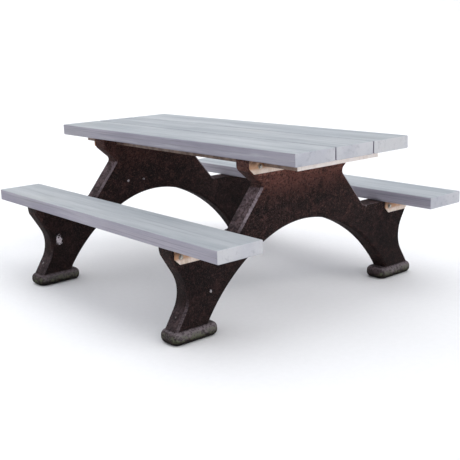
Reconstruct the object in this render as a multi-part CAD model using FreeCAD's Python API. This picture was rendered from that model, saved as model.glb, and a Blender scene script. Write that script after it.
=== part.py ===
import FreeCAD, Part
import math
import os

# Picnic table with two attached bench seats, in millimetres.
# +X runs along the planks, +Y across the table, +Z up.
# The origin is on the ground under the middle of the tabletop.
# The "right" end is at +X and the "front" bench is at -Y.

Vector = FreeCAD.Vector
ORIGIN = Vector(0, 0, 0)
ALONG_X = Vector(1, 0, 0)
ALONG_Y = Vector(0, 1, 0)
ALONG_Z = Vector(0, 0, 1)

# ---------------------------------------------------------------- driving dimensions
TABLE_LENGTH = 1829.0
TABLE_HEIGHT = 765.0
SEAT_HEIGHT = 458.0

PLANK_WIDTH = 227.0
PLANK_THICKNESS = 56.0
PLANK_GAP = 5.0
PLANK_EDGE_RADIUS = 6.0
PLANK_END_RADIUS = 2.5
SEAT_CENTRE_Y = 634.5

FRAME_OUTER_X = 620.0
FRAME_THICKNESS = 88.0
FRAME_CHAMFER = 10.0
FLANGE_HALF_WIDTH = 322.0
FLANGE_SIDE_HEIGHT = 51.0
NECK_Y = 247.0
NECK_Z = 592.0
NECK_RADIUS = 22.0
ARM_ROOT_Y = 402.0
ARM_ROOT_RADIUS = 30.0
ARM_TIP_Y = 742.0
ARM_TIP_HEIGHT = 32.0
LEG_WAIST_Y = 644.0
LEG_WAIST_Z = 207.0
LEG_WAIST_RADIUS = 150.0
LEG_TOE_Y = 754.0
LEG_BASE_Z = 30.0

ARCH_TOP_Z = 403.0
ARCH_CROWN_RADIUS = 520.0
ARCH_CROWN_HALF_ANGLE = math.radians(21.0)
ARCH_SIDE_RADIUS = 780.0

FOOT_INNER_Y = 520.0
FOOT_OUTER_Y = 760.0
FOOT_HEIGHT = 56.0
FOOT_PROUD = 18.0
FOOT_ROLL_RADIUS = 24.0
FOOT_CORNER_RADIUS = 40.0

STIFFENER_LEG = 35.0
STIFFENER_THICKNESS = 4.0
STIFFENER_OUTER_X = 829.0
STIFFENER_OUTER_Y = 247.0
NOTCH_CLEARANCE = 1.0

BRACKET_DROP = 64.0
BRACKET_SHELF = 50.0
BRACKET_THICKNESS = 5.0
BRACKET_CORNER_CUT = 25.0
TOP_BRACKET_HALF_LENGTH = 325.0
SEAT_BRACKET_INNER_Y = 553.0
SEAT_BRACKET_OUTER_Y = 729.0

LAG_RADIUS = 4.75
LAG_LENGTH = 76.0
LAG_TIP_LENGTH = 8.0
LAG_TIP_RADIUS = 1.0
LAG_HEAD_ACROSS_FLATS = 14.3
LAG_HEAD_HEIGHT = 6.4
LAG_DROP = 33.0
WASHER_RADIUS = 11.0
WASHER_THICKNESS = 2.0
TOP_LAG_Y = (-268.0, -90.0, 90.0, 268.0)
SEAT_LAG_Y = (581.0, 701.0)

SCREW_RADIUS = 3.0
SCREW_LENGTH = 45.0
SCREW_TIP_LENGTH = 6.0
SCREW_TIP_RADIUS = 0.6
SCREW_HEAD_RADIUS = 6.5
SCREW_HEAD_HEIGHT = 4.0
SCREW_ROW_FROM_FACE = 28.0
TOP_BRACKET_SCREW_Y = (-290.0, -160.0, -60.0, 60.0, 160.0, 290.0)
SEAT_BRACKET_SCREW_Y = (600.0, 682.0)
RAIL_SCREW_X = (-745.0, -480.0, -330.0, -110.0, 110.0, 330.0, 480.0, 745.0)
CROSS_SCREW_Y = (-150.0, -60.0, 60.0, 150.0)

HOLE_CLEARANCE = 0.3
CUT_MARGIN = 1.0

# ---------------------------------------------------------------- derived places
TOP_UNDERSIDE = TABLE_HEIGHT - PLANK_THICKNESS
SEAT_UNDERSIDE = SEAT_HEIGHT - PLANK_THICKNESS
FRAME_INNER_X = FRAME_OUTER_X - FRAME_THICKNESS
PLANK_PITCH = PLANK_WIDTH + PLANK_GAP
HALF_LENGTH = TABLE_LENGTH / 2
BRACKET_FACE_X = FRAME_OUTER_X + BRACKET_THICKNESS
BRACKET_SCREW_X = FRAME_OUTER_X + SCREW_ROW_FROM_FACE
RAIL_SCREW_Y = STIFFENER_OUTER_Y - STIFFENER_LEG / 2
CROSS_SCREW_X = STIFFENER_OUTER_X - STIFFENER_LEG / 2


# ---------------------------------------------------------------- helpers
def block(low, high):
    """A box between two opposite corners."""
    size = [high[i] - low[i] for i in range(3)]
    return Part.makeBox(size[0], size[1], size[2], Vector(*low))


def rod(radius, length, start, direction):
    """A round bar that starts at a point and runs along a direction."""
    return Part.makeCylinder(radius, length, Vector(*start), direction)


def mirror_end(shape):
    """The same shape at the other end of the table."""
    return shape.mirror(ORIGIN, ALONG_X)


def mirror_side(shape):
    """The same shape at the other bench."""
    return shape.mirror(ORIGIN, ALONG_Y)


def all_four(shape):
    """One copy at each end of each bench, from the copy at +X, +Y."""
    pair = [shape, mirror_side(shape)]
    return pair + [mirror_end(item) for item in pair]


def rounded_path(corners):
    """Edges through (y, z, radius) corners, each corner rounded by its radius."""
    points = [Vector(0, y, z) for y, z, radius in corners]
    edges = []
    pen = points[0]
    for index in range(1, len(corners) - 1):
        corner = points[index]
        radius = corners[index][2]
        if radius == 0:
            edges.append(Part.LineSegment(pen, corner).toShape())
            pen = corner
            continue
        back = (points[index - 1] - corner).normalize()
        ahead = (points[index + 1] - corner).normalize()
        half_angle = back.getAngle(ahead) / 2
        reach = radius / math.tan(half_angle)
        start = corner + back * reach
        end = corner + ahead * reach
        middle = corner + (back + ahead).normalize() * (radius / math.sin(half_angle) - radius)
        edges.append(Part.LineSegment(pen, start).toShape())
        edges.append(Part.Arc(start, middle, end).toShape())
        pen = end
    edges.append(Part.LineSegment(pen, points[-1]).toShape())
    return edges


# ---------------------------------------------------------------- planks
def plank(centre_y, top_z, screw_places):
    """One plank with eased edges and blind screw holes in its underside."""
    half = PLANK_WIDTH / 2
    underside = top_z - PLANK_THICKNESS
    body = block((-HALF_LENGTH, centre_y - half, underside), (HALF_LENGTH, centre_y + half, top_z))
    long_edges = [edge for edge in body.Edges if edge.Length > HALF_LENGTH]
    body = body.makeFillet(PLANK_EDGE_RADIUS, long_edges)
    end_edges = [edge for edge in body.Edges if abs(edge.BoundBox.XLength) < 0.001]
    body = body.makeFillet(PLANK_END_RADIUS, end_edges)
    for x, y in screw_places:
        if abs(y - centre_y) < half:
            hole = rod(SCREW_RADIUS + HOLE_CLEARANCE, SCREW_LENGTH, (x, y, underside), ALONG_Z)
            body = body.cut(hole)
    return body


# ---------------------------------------------------------------- end frames
def arch_side_centre():
    """Centre of the side arc on the +Y side, tangent to the crown arc."""
    crown_centre_z = ARCH_TOP_Z - ARCH_CROWN_RADIUS
    offset = ARCH_CROWN_RADIUS - ARCH_SIDE_RADIUS
    y = offset * math.sin(ARCH_CROWN_HALF_ANGLE)
    z = crown_centre_z + offset * math.cos(ARCH_CROWN_HALF_ANGLE)
    return y, z


def arch_half_width(z):
    """Half the clear width under the arch at a height on its side arcs."""
    centre_y, centre_z = arch_side_centre()
    return centre_y + math.sqrt(ARCH_SIDE_RADIUS ** 2 - (z - centre_z) ** 2)


def arch_edges():
    """The arch from the -Y leg over the crown to the +Y leg."""
    crown_centre_z = ARCH_TOP_Z - ARCH_CROWN_RADIUS
    spring_y = ARCH_CROWN_RADIUS * math.sin(ARCH_CROWN_HALF_ANGLE)
    spring_z = crown_centre_z + ARCH_CROWN_RADIUS * math.cos(ARCH_CROWN_HALF_ANGLE)
    middle_z = (spring_z + LEG_BASE_Z) / 2
    base_y = arch_half_width(LEG_BASE_Z)
    middle_y = arch_half_width(middle_z)

    def side(sign):
        foot = Vector(0, sign * base_y, LEG_BASE_Z)
        middle = Vector(0, sign * middle_y, middle_z)
        spring = Vector(0, sign * spring_y, spring_z)
        return foot, middle, spring

    left = Part.Arc(*side(-1)).toShape()
    left_spring = side(-1)[2]
    right_spring = side(1)[2]
    crown = Part.Arc(left_spring, Vector(0, 0, ARCH_TOP_Z), right_spring).toShape()
    right = Part.Arc(*reversed(side(1))).toShape()
    return [left, crown, right]


def frame_outline():
    """Closed outline of an end frame in the plane across the table."""
    base_y = arch_half_width(LEG_BASE_Z)
    half = [
        (base_y, LEG_BASE_Z, 0),
        (LEG_TOE_Y, LEG_BASE_Z, 0),
        (LEG_WAIST_Y, LEG_WAIST_Z, LEG_WAIST_RADIUS),
        (ARM_TIP_Y, SEAT_UNDERSIDE - ARM_TIP_HEIGHT, 0),
        (ARM_TIP_Y, SEAT_UNDERSIDE, 0),
        (ARM_ROOT_Y, SEAT_UNDERSIDE, ARM_ROOT_RADIUS),
        (NECK_Y, NECK_Z, NECK_RADIUS),
        (FLANGE_HALF_WIDTH, TOP_UNDERSIDE - FLANGE_SIDE_HEIGHT, 0),
        (FLANGE_HALF_WIDTH, TOP_UNDERSIDE, 0),
    ]
    other_half = [(-y, z, radius) for y, z, radius in reversed(half)]
    return Part.Wire(Part.__sortEdges__(rounded_path(half + other_half) + arch_edges()))


def is_leg_edge(edge):
    """True for the face edges of the legs and the arch, which carry a chamfer."""
    box = edge.BoundBox
    if box.XLength > 0.001:
        return False
    level = box.ZLength < 0.001
    upright = box.YLength < 0.001
    return not level and not upright


def foot():
    """The rounded bar that the +X, +Y leg stands on."""
    low = (FRAME_INNER_X - FOOT_PROUD, FOOT_INNER_Y, 0)
    high = (FRAME_OUTER_X + FOOT_PROUD, FOOT_OUTER_Y, FOOT_HEIGHT)
    bar = block(low, high)
    corners = [edge for edge in bar.Edges if edge.BoundBox.ZLength > FOOT_HEIGHT / 2]
    bar = bar.makeFillet(FOOT_CORNER_RADIUS, corners)
    rims = [edge for edge in bar.Edges if edge.BoundBox.ZLength < 0.001]
    return bar.makeFillet(FOOT_ROLL_RADIUS, rims)


def lag_hole(y, z):
    """Blind hole for a lag bolt, drilled in from the frame's outer face."""
    depth = LAG_LENGTH - BRACKET_THICKNESS - WASHER_THICKNESS + CUT_MARGIN
    return rod(LAG_RADIUS + HOLE_CLEARANCE, depth, (FRAME_OUTER_X, y, z), -ALONG_X)


def rail_notch(from_x, to_x):
    """Space for a stiffener rail on the +Y side, open at the top."""
    low_y = STIFFENER_OUTER_Y - STIFFENER_LEG - NOTCH_CLEARANCE
    high_y = STIFFENER_OUTER_Y + NOTCH_CLEARANCE
    low_z = TOP_UNDERSIDE - STIFFENER_LEG - NOTCH_CLEARANCE
    return block((from_x, low_y, low_z), (to_x, high_y, TOP_UNDERSIDE + CUT_MARGIN))


def end_frame():
    """The moulded end at +X: flange, legs, seat arms and feet in one piece."""
    outline = frame_outline()
    outline.translate(Vector(FRAME_INNER_X, 0, 0))
    body = Part.Face(outline).extrude(Vector(FRAME_THICKNESS, 0, 0))
    body = body.makeChamfer(FRAME_CHAMFER, [edge for edge in body.Edges if is_leg_edge(edge)])
    one_foot = foot()
    body = body.fuse([one_foot, mirror_side(one_foot)])
    notch = rail_notch(FRAME_INNER_X - CUT_MARGIN, FRAME_OUTER_X + CUT_MARGIN)
    cutters = [notch, mirror_side(notch)]
    cutters += [lag_hole(y, TOP_UNDERSIDE - LAG_DROP) for y in TOP_LAG_Y]
    for y in SEAT_LAG_Y:
        hole = lag_hole(y, SEAT_UNDERSIDE - LAG_DROP)
        cutters += [hole, mirror_side(hole)]
    return body.cut(cutters)


# ---------------------------------------------------------------- stiffeners
def stiffener_rail():
    """Angle bar along the table under the rear plank, ends closed by the cross bars."""
    inner_x = STIFFENER_OUTER_X - STIFFENER_THICKNESS
    shelf_x = STIFFENER_OUTER_X - STIFFENER_LEG
    low_z = TOP_UNDERSIDE - STIFFENER_LEG
    shelf_z = TOP_UNDERSIDE - STIFFENER_THICKNESS
    web_y = STIFFENER_OUTER_Y - STIFFENER_THICKNESS
    shelf_y = STIFFENER_OUTER_Y - STIFFENER_LEG
    web = block((-inner_x, web_y, low_z), (inner_x, STIFFENER_OUTER_Y, TOP_UNDERSIDE))
    shelf = block((-shelf_x, shelf_y, shelf_z), (shelf_x, web_y, TOP_UNDERSIDE))
    bar = web.fuse(shelf).removeSplitter()
    for x in RAIL_SCREW_X:
        bar = bar.cut(screw_hole(x, RAIL_SCREW_Y, shelf_z, STIFFENER_THICKNESS))
    return bar


def stiffener_cross():
    """Angle bar across the three top planks near the +X end."""
    inner_x = STIFFENER_OUTER_X - STIFFENER_THICKNESS
    shelf_x = STIFFENER_OUTER_X - STIFFENER_LEG
    low_z = TOP_UNDERSIDE - STIFFENER_LEG
    shelf_z = TOP_UNDERSIDE - STIFFENER_THICKNESS
    shelf_y = STIFFENER_OUTER_Y - STIFFENER_THICKNESS
    web = block((inner_x, -STIFFENER_OUTER_Y, low_z),
                (STIFFENER_OUTER_X, STIFFENER_OUTER_Y, TOP_UNDERSIDE))
    shelf = block((shelf_x, -shelf_y, shelf_z), (inner_x, shelf_y, TOP_UNDERSIDE))
    bar = web.fuse(shelf).removeSplitter()
    for y in CROSS_SCREW_Y:
        bar = bar.cut(screw_hole(CROSS_SCREW_X, y, shelf_z, STIFFENER_THICKNESS))
    return bar


# ---------------------------------------------------------------- brackets
def angle_bracket(low_y, high_y, top_z, lag_places, screw_places):
    """Angle on a frame's outer face: a bolted web with cut corners and a screwed shelf."""
    web_z = top_z - BRACKET_DROP
    cut = BRACKET_CORNER_CUT
    corners = [
        (low_y, top_z),
        (low_y, web_z + cut),
        (low_y + cut, web_z),
        (high_y - cut, web_z),
        (high_y, web_z + cut),
        (high_y, top_z),
        (low_y, top_z),
    ]
    outline = Part.makePolygon([Vector(FRAME_OUTER_X, y, z) for y, z in corners])
    web = Part.Face(outline).extrude(Vector(BRACKET_THICKNESS, 0, 0))
    shelf_z = top_z - BRACKET_THICKNESS
    shelf = block((BRACKET_FACE_X, low_y, shelf_z), (FRAME_OUTER_X + BRACKET_SHELF, high_y, top_z))
    bracket = web.fuse(shelf).removeSplitter()
    cutters = []
    for y in lag_places:
        start = (FRAME_OUTER_X - CUT_MARGIN, y, top_z - LAG_DROP)
        depth = BRACKET_THICKNESS + 2 * CUT_MARGIN
        cutters.append(rod(LAG_RADIUS + HOLE_CLEARANCE, depth, start, ALONG_X))
    for y in screw_places:
        cutters.append(screw_hole(BRACKET_SCREW_X, y, shelf_z, BRACKET_THICKNESS))
    return bracket.cut(cutters)


def top_bracket():
    """The long bracket under the tabletop, cut away where the two rails cross it."""
    half = TOP_BRACKET_HALF_LENGTH
    bracket = angle_bracket(-half, half, TOP_UNDERSIDE, TOP_LAG_Y, TOP_BRACKET_SCREW_Y)
    notch = rail_notch(FRAME_OUTER_X - CUT_MARGIN, FRAME_OUTER_X + BRACKET_SHELF + CUT_MARGIN)
    return bracket.cut([notch, mirror_side(notch)])


def seat_bracket():
    """The short bracket under the rear bench."""
    return angle_bracket(SEAT_BRACKET_INNER_Y, SEAT_BRACKET_OUTER_Y, SEAT_UNDERSIDE,
                         SEAT_LAG_Y, SEAT_BRACKET_SCREW_Y)


# ---------------------------------------------------------------- fasteners
def lag_bolt(y, z):
    """Hex lag bolt into the frame at +X, with a tapered tip."""
    seat_x = BRACKET_FACE_X + WASHER_THICKNESS
    corner_radius = LAG_HEAD_ACROSS_FLATS / math.sqrt(3)
    corners = []
    for step in range(7):
        angle = math.radians(60 * step + 30)
        corner_y = y + corner_radius * math.cos(angle)
        corner_z = z + corner_radius * math.sin(angle)
        corners.append(Vector(seat_x, corner_y, corner_z))
    head = Part.Face(Part.makePolygon(corners)).extrude(Vector(LAG_HEAD_HEIGHT, 0, 0))
    crown_height = LAG_HEAD_HEIGHT * 2
    crown = Part.makeCone(corner_radius + LAG_HEAD_HEIGHT, corner_radius - LAG_HEAD_HEIGHT,
                          crown_height, Vector(seat_x - 0.2 * LAG_HEAD_HEIGHT, y, z), ALONG_X)
    head = head.common(crown)
    straight = LAG_LENGTH - LAG_TIP_LENGTH
    shank = rod(LAG_RADIUS, straight, (seat_x, y, z), -ALONG_X)
    tip_start = Vector(seat_x - straight, y, z)
    tip = Part.makeCone(LAG_RADIUS, LAG_TIP_RADIUS, LAG_TIP_LENGTH, tip_start, -ALONG_X)
    return head.fuse([shank, tip])


def lag_washer(y, z):
    """Flat washer under a lag bolt's head."""
    ring = rod(WASHER_RADIUS, WASHER_THICKNESS, (BRACKET_FACE_X, y, z), ALONG_X)
    hole_start = (BRACKET_FACE_X - CUT_MARGIN, y, z)
    hole = rod(LAG_RADIUS + HOLE_CLEARANCE, WASHER_THICKNESS + 2 * CUT_MARGIN, hole_start, ALONG_X)
    return ring.cut(hole)


def screw_hole(x, y, low_z, depth):
    """Clearance hole through a shelf for a screw that is driven upwards."""
    return rod(SCREW_RADIUS + HOLE_CLEARANCE, depth + 2 * CUT_MARGIN, (x, y, low_z - CUT_MARGIN), ALONG_Z)


def plank_screw(x, y, shelf_z):
    """Pan-head screw driven up through a shelf into a plank."""
    head = rod(SCREW_HEAD_RADIUS, SCREW_HEAD_HEIGHT, (x, y, shelf_z - SCREW_HEAD_HEIGHT), ALONG_Z)
    rim = [edge for edge in head.Edges if edge.BoundBox.ZMax < shelf_z - SCREW_HEAD_HEIGHT / 2]
    head = head.makeFillet(SCREW_HEAD_HEIGHT / 2, rim)
    straight = SCREW_LENGTH - SCREW_TIP_LENGTH
    shank = rod(SCREW_RADIUS, straight, (x, y, shelf_z), ALONG_Z)
    tip_start = Vector(x, y, shelf_z + straight)
    tip = Part.makeCone(SCREW_RADIUS, SCREW_TIP_RADIUS, SCREW_TIP_LENGTH, tip_start, ALONG_Z)
    return head.fuse([shank, tip])


def both_ends(shapes):
    """The shapes at +X and their mirror images at -X."""
    return shapes + [mirror_end(shape) for shape in shapes]


def group(shapes):
    """Separate solids that share one node."""
    return Part.makeCompound(shapes)


# ---------------------------------------------------------------- assembly
def make_planks(parts):
    top_screws = [(side * BRACKET_SCREW_X, y) for side in (-1, 1) for y in TOP_BRACKET_SCREW_Y]
    top_screws += [(side * CROSS_SCREW_X, y) for side in (-1, 1) for y in CROSS_SCREW_Y]
    top_screws += [(x, side * RAIL_SCREW_Y) for side in (-1, 1) for x in RAIL_SCREW_X]
    for name, row in (("front", -1), ("middle", 0), ("rear", 1)):
        parts["top_plank_" + name] = plank(row * PLANK_PITCH, TABLE_HEIGHT, top_screws)
    seat_screws = [(side * BRACKET_SCREW_X, y) for side in (-1, 1) for y in SEAT_BRACKET_SCREW_Y]
    rear_seat = plank(SEAT_CENTRE_Y, SEAT_HEIGHT, seat_screws)
    parts["seat_plank_rear"] = rear_seat
    parts["seat_plank_front"] = mirror_side(rear_seat)


def make_ends(parts):
    frame = end_frame()
    parts["end_frame_right"] = frame
    parts["end_frame_left"] = mirror_end(frame)
    bracket = top_bracket()
    parts["top_bracket_right"] = bracket
    parts["top_bracket_left"] = mirror_end(bracket)
    names = ("rear_right", "front_right", "rear_left", "front_left")
    for name, shape in zip(names, all_four(seat_bracket())):
        parts["seat_bracket_" + name] = shape


def make_stiffeners(parts):
    rail = stiffener_rail()
    parts["stiffener_rail_rear"] = rail
    parts["stiffener_rail_front"] = mirror_side(rail)
    cross = stiffener_cross()
    parts["stiffener_cross_right"] = cross
    parts["stiffener_cross_left"] = mirror_end(cross)


def make_fasteners(parts):
    top_lag_z = TOP_UNDERSIDE - LAG_DROP
    seat_lag_z = SEAT_UNDERSIDE - LAG_DROP
    parts["top_bracket_lag_bolts"] = group(both_ends([lag_bolt(y, top_lag_z) for y in TOP_LAG_Y]))
    seat_lags = []
    washers = both_ends([lag_washer(y, top_lag_z) for y in TOP_LAG_Y])
    for y in SEAT_LAG_Y:
        seat_lags += all_four(lag_bolt(y, seat_lag_z))
        washers += all_four(lag_washer(y, seat_lag_z))
    parts["seat_bracket_lag_bolts"] = group(seat_lags)
    parts["lag_washers"] = group(washers)

    top_shelf_z = TOP_UNDERSIDE - BRACKET_THICKNESS
    seat_shelf_z = SEAT_UNDERSIDE - BRACKET_THICKNESS
    stiffener_shelf_z = TOP_UNDERSIDE - STIFFENER_THICKNESS
    top_screws = [plank_screw(BRACKET_SCREW_X, y, top_shelf_z) for y in TOP_BRACKET_SCREW_Y]
    parts["top_plank_screws"] = group(both_ends(top_screws))
    seat_screws = []
    for y in SEAT_BRACKET_SCREW_Y:
        seat_screws += all_four(plank_screw(BRACKET_SCREW_X, y, seat_shelf_z))
    parts["seat_plank_screws"] = group(seat_screws)
    rear_row = [plank_screw(x, RAIL_SCREW_Y, stiffener_shelf_z) for x in RAIL_SCREW_X]
    cross_row = [plank_screw(CROSS_SCREW_X, y, stiffener_shelf_z) for y in CROSS_SCREW_Y]
    rail_rows = rear_row + [mirror_side(screw) for screw in rear_row]
    parts["stiffener_screws"] = group(rail_rows + both_ends(cross_row))


def main():
    parts = {}
    make_planks(parts)
    make_ends(parts)
    make_stiffeners(parts)
    make_fasteners(parts)
    os.makedirs("parts", exist_ok=True)
    for name, shape in parts.items():
        shape.exportStep("parts/" + name + ".step")
        print(name, "solids", len(shape.Solids), "valid", shape.isValid(), "volume", round(shape.Volume))


main()
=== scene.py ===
import math

import bmesh
import bpy
from mathutils import Matrix, Vector, noise


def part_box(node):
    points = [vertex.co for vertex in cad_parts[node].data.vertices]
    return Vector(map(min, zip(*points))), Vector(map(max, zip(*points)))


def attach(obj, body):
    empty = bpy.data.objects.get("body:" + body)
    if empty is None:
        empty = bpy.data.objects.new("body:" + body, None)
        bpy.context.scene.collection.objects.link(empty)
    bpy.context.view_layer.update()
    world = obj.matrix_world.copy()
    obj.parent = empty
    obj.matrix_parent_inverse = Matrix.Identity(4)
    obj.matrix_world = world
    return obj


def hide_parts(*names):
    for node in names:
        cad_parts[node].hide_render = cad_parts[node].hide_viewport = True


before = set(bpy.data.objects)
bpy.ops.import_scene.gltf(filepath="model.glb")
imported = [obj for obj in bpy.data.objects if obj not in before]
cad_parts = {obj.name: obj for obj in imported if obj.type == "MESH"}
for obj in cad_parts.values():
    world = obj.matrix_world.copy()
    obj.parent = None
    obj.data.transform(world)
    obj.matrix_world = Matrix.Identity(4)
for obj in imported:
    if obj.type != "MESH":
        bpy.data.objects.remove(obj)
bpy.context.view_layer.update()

# Picnic table, in metres, in the frame's own axes:
# +X along the planks, +Y towards the rear bench, +Z up.

# ---------------------------------------------------------------- camera
CAMERA_PLACE = Vector((3.1174, -2.5016, 1.2166))
CAMERA_HEADING = 0.8806
CAMERA_DIP = 0.2378
CAMERA_ROLL = -0.0340
CAMERA_SENSOR = 36.0
CAMERA_LENS = 62.966

# ---------------------------------------------------------------- sizes that the frame's boxes don't give
PLANK_RADIUS = 0.006
PLANK_END_RADIUS = 0.0025
PLANK_STATION = 0.03
PLANK_WAVE = 0.0007

FOOT_PROUD = 0.018
FOOT_LENGTH = 0.240
FOOT_HEIGHT = 0.056
FOOT_ROLL = 0.024
FOOT_CORNER = 0.040
FRAME_CHAMFER = 0.010
FRAME_EDGE = 0.0015
FLANGE_HALF_WIDTH = 0.322
FLANGE_SIDE_HEIGHT = 0.051
NECK = (0.247, 0.592, 0.022)
ARM_ROOT_Y = 0.402
ARM_ROOT_RADIUS = 0.030
ARM_TIP_Y = 0.742
ARM_TIP_HEIGHT = 0.032
LEG_WAIST = (0.644, 0.207, 0.150)
LEG_TOE_Y = 0.754
LEG_BASE_Z = 0.030
ARCH_TOP_Z = 0.403
ARCH_CROWN_RADIUS = 0.520
ARCH_CROWN_HALF_ANGLE = math.radians(21)
ARCH_SIDE_RADIUS = 0.780
RAIL_NOTCH_Y = (0.211, 0.248)
RAIL_NOTCH_DEPTH = 0.036

BRACKET_THICKNESS = 0.005
BRACKET_BEND = 0.006
BRACKET_CUT = 0.025
STIFFENER_THICKNESS = 0.004
STIFFENER_LEG = 0.035
STIFFENER_BEND = 0.004
LAG_DROP = 0.033
LAG_RADIUS = 0.00475
LAG_LENGTH = 0.076
LAG_ACROSS_FLATS = 0.0143
LAG_HEAD_HEIGHT = 0.0064
TOP_LAG_Y = (-0.268, -0.090, 0.090, 0.268)
SEAT_LAG_Y = (0.581, 0.701)
WASHER_RADIUS = 0.011
WASHER_THICKNESS = 0.002
SCREW_RADIUS = 0.003
SCREW_LENGTH = 0.045
SCREW_HEAD_RADIUS = 0.0065
SCREW_HEAD_HEIGHT = 0.004
SCREW_FROM_FRAME = 0.028
TOP_SCREW_Y = (-0.290, -0.160, -0.060, 0.060, 0.160, 0.290)
SEAT_SCREW_Y = (0.600, 0.682)
RAIL_SCREW_X = (-0.745, -0.480, -0.330, -0.110, 0.110, 0.330, 0.480, 0.745)
CROSS_SCREW_Y = (-0.150, -0.060, 0.060, 0.150)
HOLE_CLEARANCE = 0.0003

# ---------------------------------------------------------------- places from the frame
foot_low, foot_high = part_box("end_frame_right")
FRAME_OUTER_X = foot_high.x - FOOT_PROUD
FRAME_INNER_X = foot_low.x + FOOT_PROUD
FOOT_OUTER_Y = foot_high.y
TOP_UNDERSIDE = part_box("top_plank_middle")[0].z
SEAT_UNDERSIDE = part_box("seat_plank_rear")[0].z
SHARP_ANGLE = math.radians(32)
BODY = "root"
ENDS = (("right", 1), ("left", -1))
SIDES = (("rear", 1), ("front", -1))


# ---------------------------------------------------------------- mesh helpers
def loft(bm, rings, closed=True):
    """Quads between rings of points, with a face over each end."""
    loops = [[bm.verts.new(point) for point in ring] for ring in rings]
    count = len(loops[0])
    for ring, following in zip(loops, loops[1:]):
        for i in range(count):
            j = (i + 1) % count
            bm.faces.new((ring[i], ring[j], following[j], following[i]))
    if closed:
        bm.faces.new(list(reversed(loops[0])))
        bm.faces.new(loops[-1])
    return loops


def lathe(bm, profile, centre, axis, sides):
    """A turned shape: (distance along the axis, radius) stations about a centre."""
    axis = Vector(axis).normalized()
    across = axis.orthogonal().normalized()
    other = axis.cross(across)
    rings = []
    for along, radius in profile:
        middle = Vector(centre) + axis * along
        ring = []
        for i in range(sides):
            angle = 2 * math.pi * (i + 0.5) / sides
            ring.append(middle + (across * math.cos(angle) + other * math.sin(angle)) * radius)
        rings.append(ring)
    return loft(bm, rings)


def mesh_object(name, bm):
    """A new object from a bmesh, with outward normals."""
    bmesh.ops.recalc_face_normals(bm, faces=bm.faces)
    mesh = bpy.data.meshes.new(name)
    bm.to_mesh(mesh)
    bm.free()
    made = bpy.data.objects.new(name, mesh)
    bpy.context.scene.collection.objects.link(made)
    return made


def bake_modifiers(made):
    """Replaces an object's mesh by the result of its modifiers."""
    bpy.context.view_layer.update()
    graph = bpy.context.evaluated_depsgraph_get()
    mesh = bpy.data.meshes.new_from_object(made.evaluated_get(graph))
    made.modifiers.clear()
    made.data = mesh
    return made


def combine(made, cutter, operation):
    """Union or difference with another object, which is then removed."""
    step = made.modifiers.new("combine", "BOOLEAN")
    step.operation = operation
    step.solver = "EXACT"
    step.object = cutter
    bake_modifiers(made)
    bpy.data.objects.remove(cutter)
    return made


def soften(made, width, segments=2, angle=40):
    """Rounds the sharp edges of an object."""
    step = made.modifiers.new("soften", "BEVEL")
    step.width = width
    step.segments = segments
    step.limit_method = "ANGLE"
    step.angle_limit = math.radians(angle)
    step.harden_normals = False
    return bake_modifiers(made)


def shade(made):
    """Smooth shading that breaks at sharp edges."""
    bm = bmesh.new()
    bm.from_mesh(made.data)
    for face in bm.faces:
        face.smooth = True
    for edge in bm.edges:
        sharp = len(edge.link_faces) == 2 and edge.calc_face_angle(0) > SHARP_ANGLE
        edge.smooth = not sharp
    bm.to_mesh(made.data)
    bm.free()


def place(made, material, slot, *nodes):
    """Gives a finished piece smooth shading, its material and its body, and hides the nodes it stands for.
    The slot argument is not used.
    """
    shade(made)
    made.data.materials.clear()
    made.data.materials.append(material)
    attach(made, BODY)
    if nodes:
        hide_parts(*nodes)
    return made


def box_corners(low, high):
    """Two rings of four corners, at the low and the high X."""
    rings = []
    for x in (low[0], high[0]):
        rings.append([
            Vector((x, low[1], low[2])),
            Vector((x, high[1], low[2])),
            Vector((x, high[1], high[2])),
            Vector((x, low[1], high[2])),
        ])
    return rings


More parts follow.
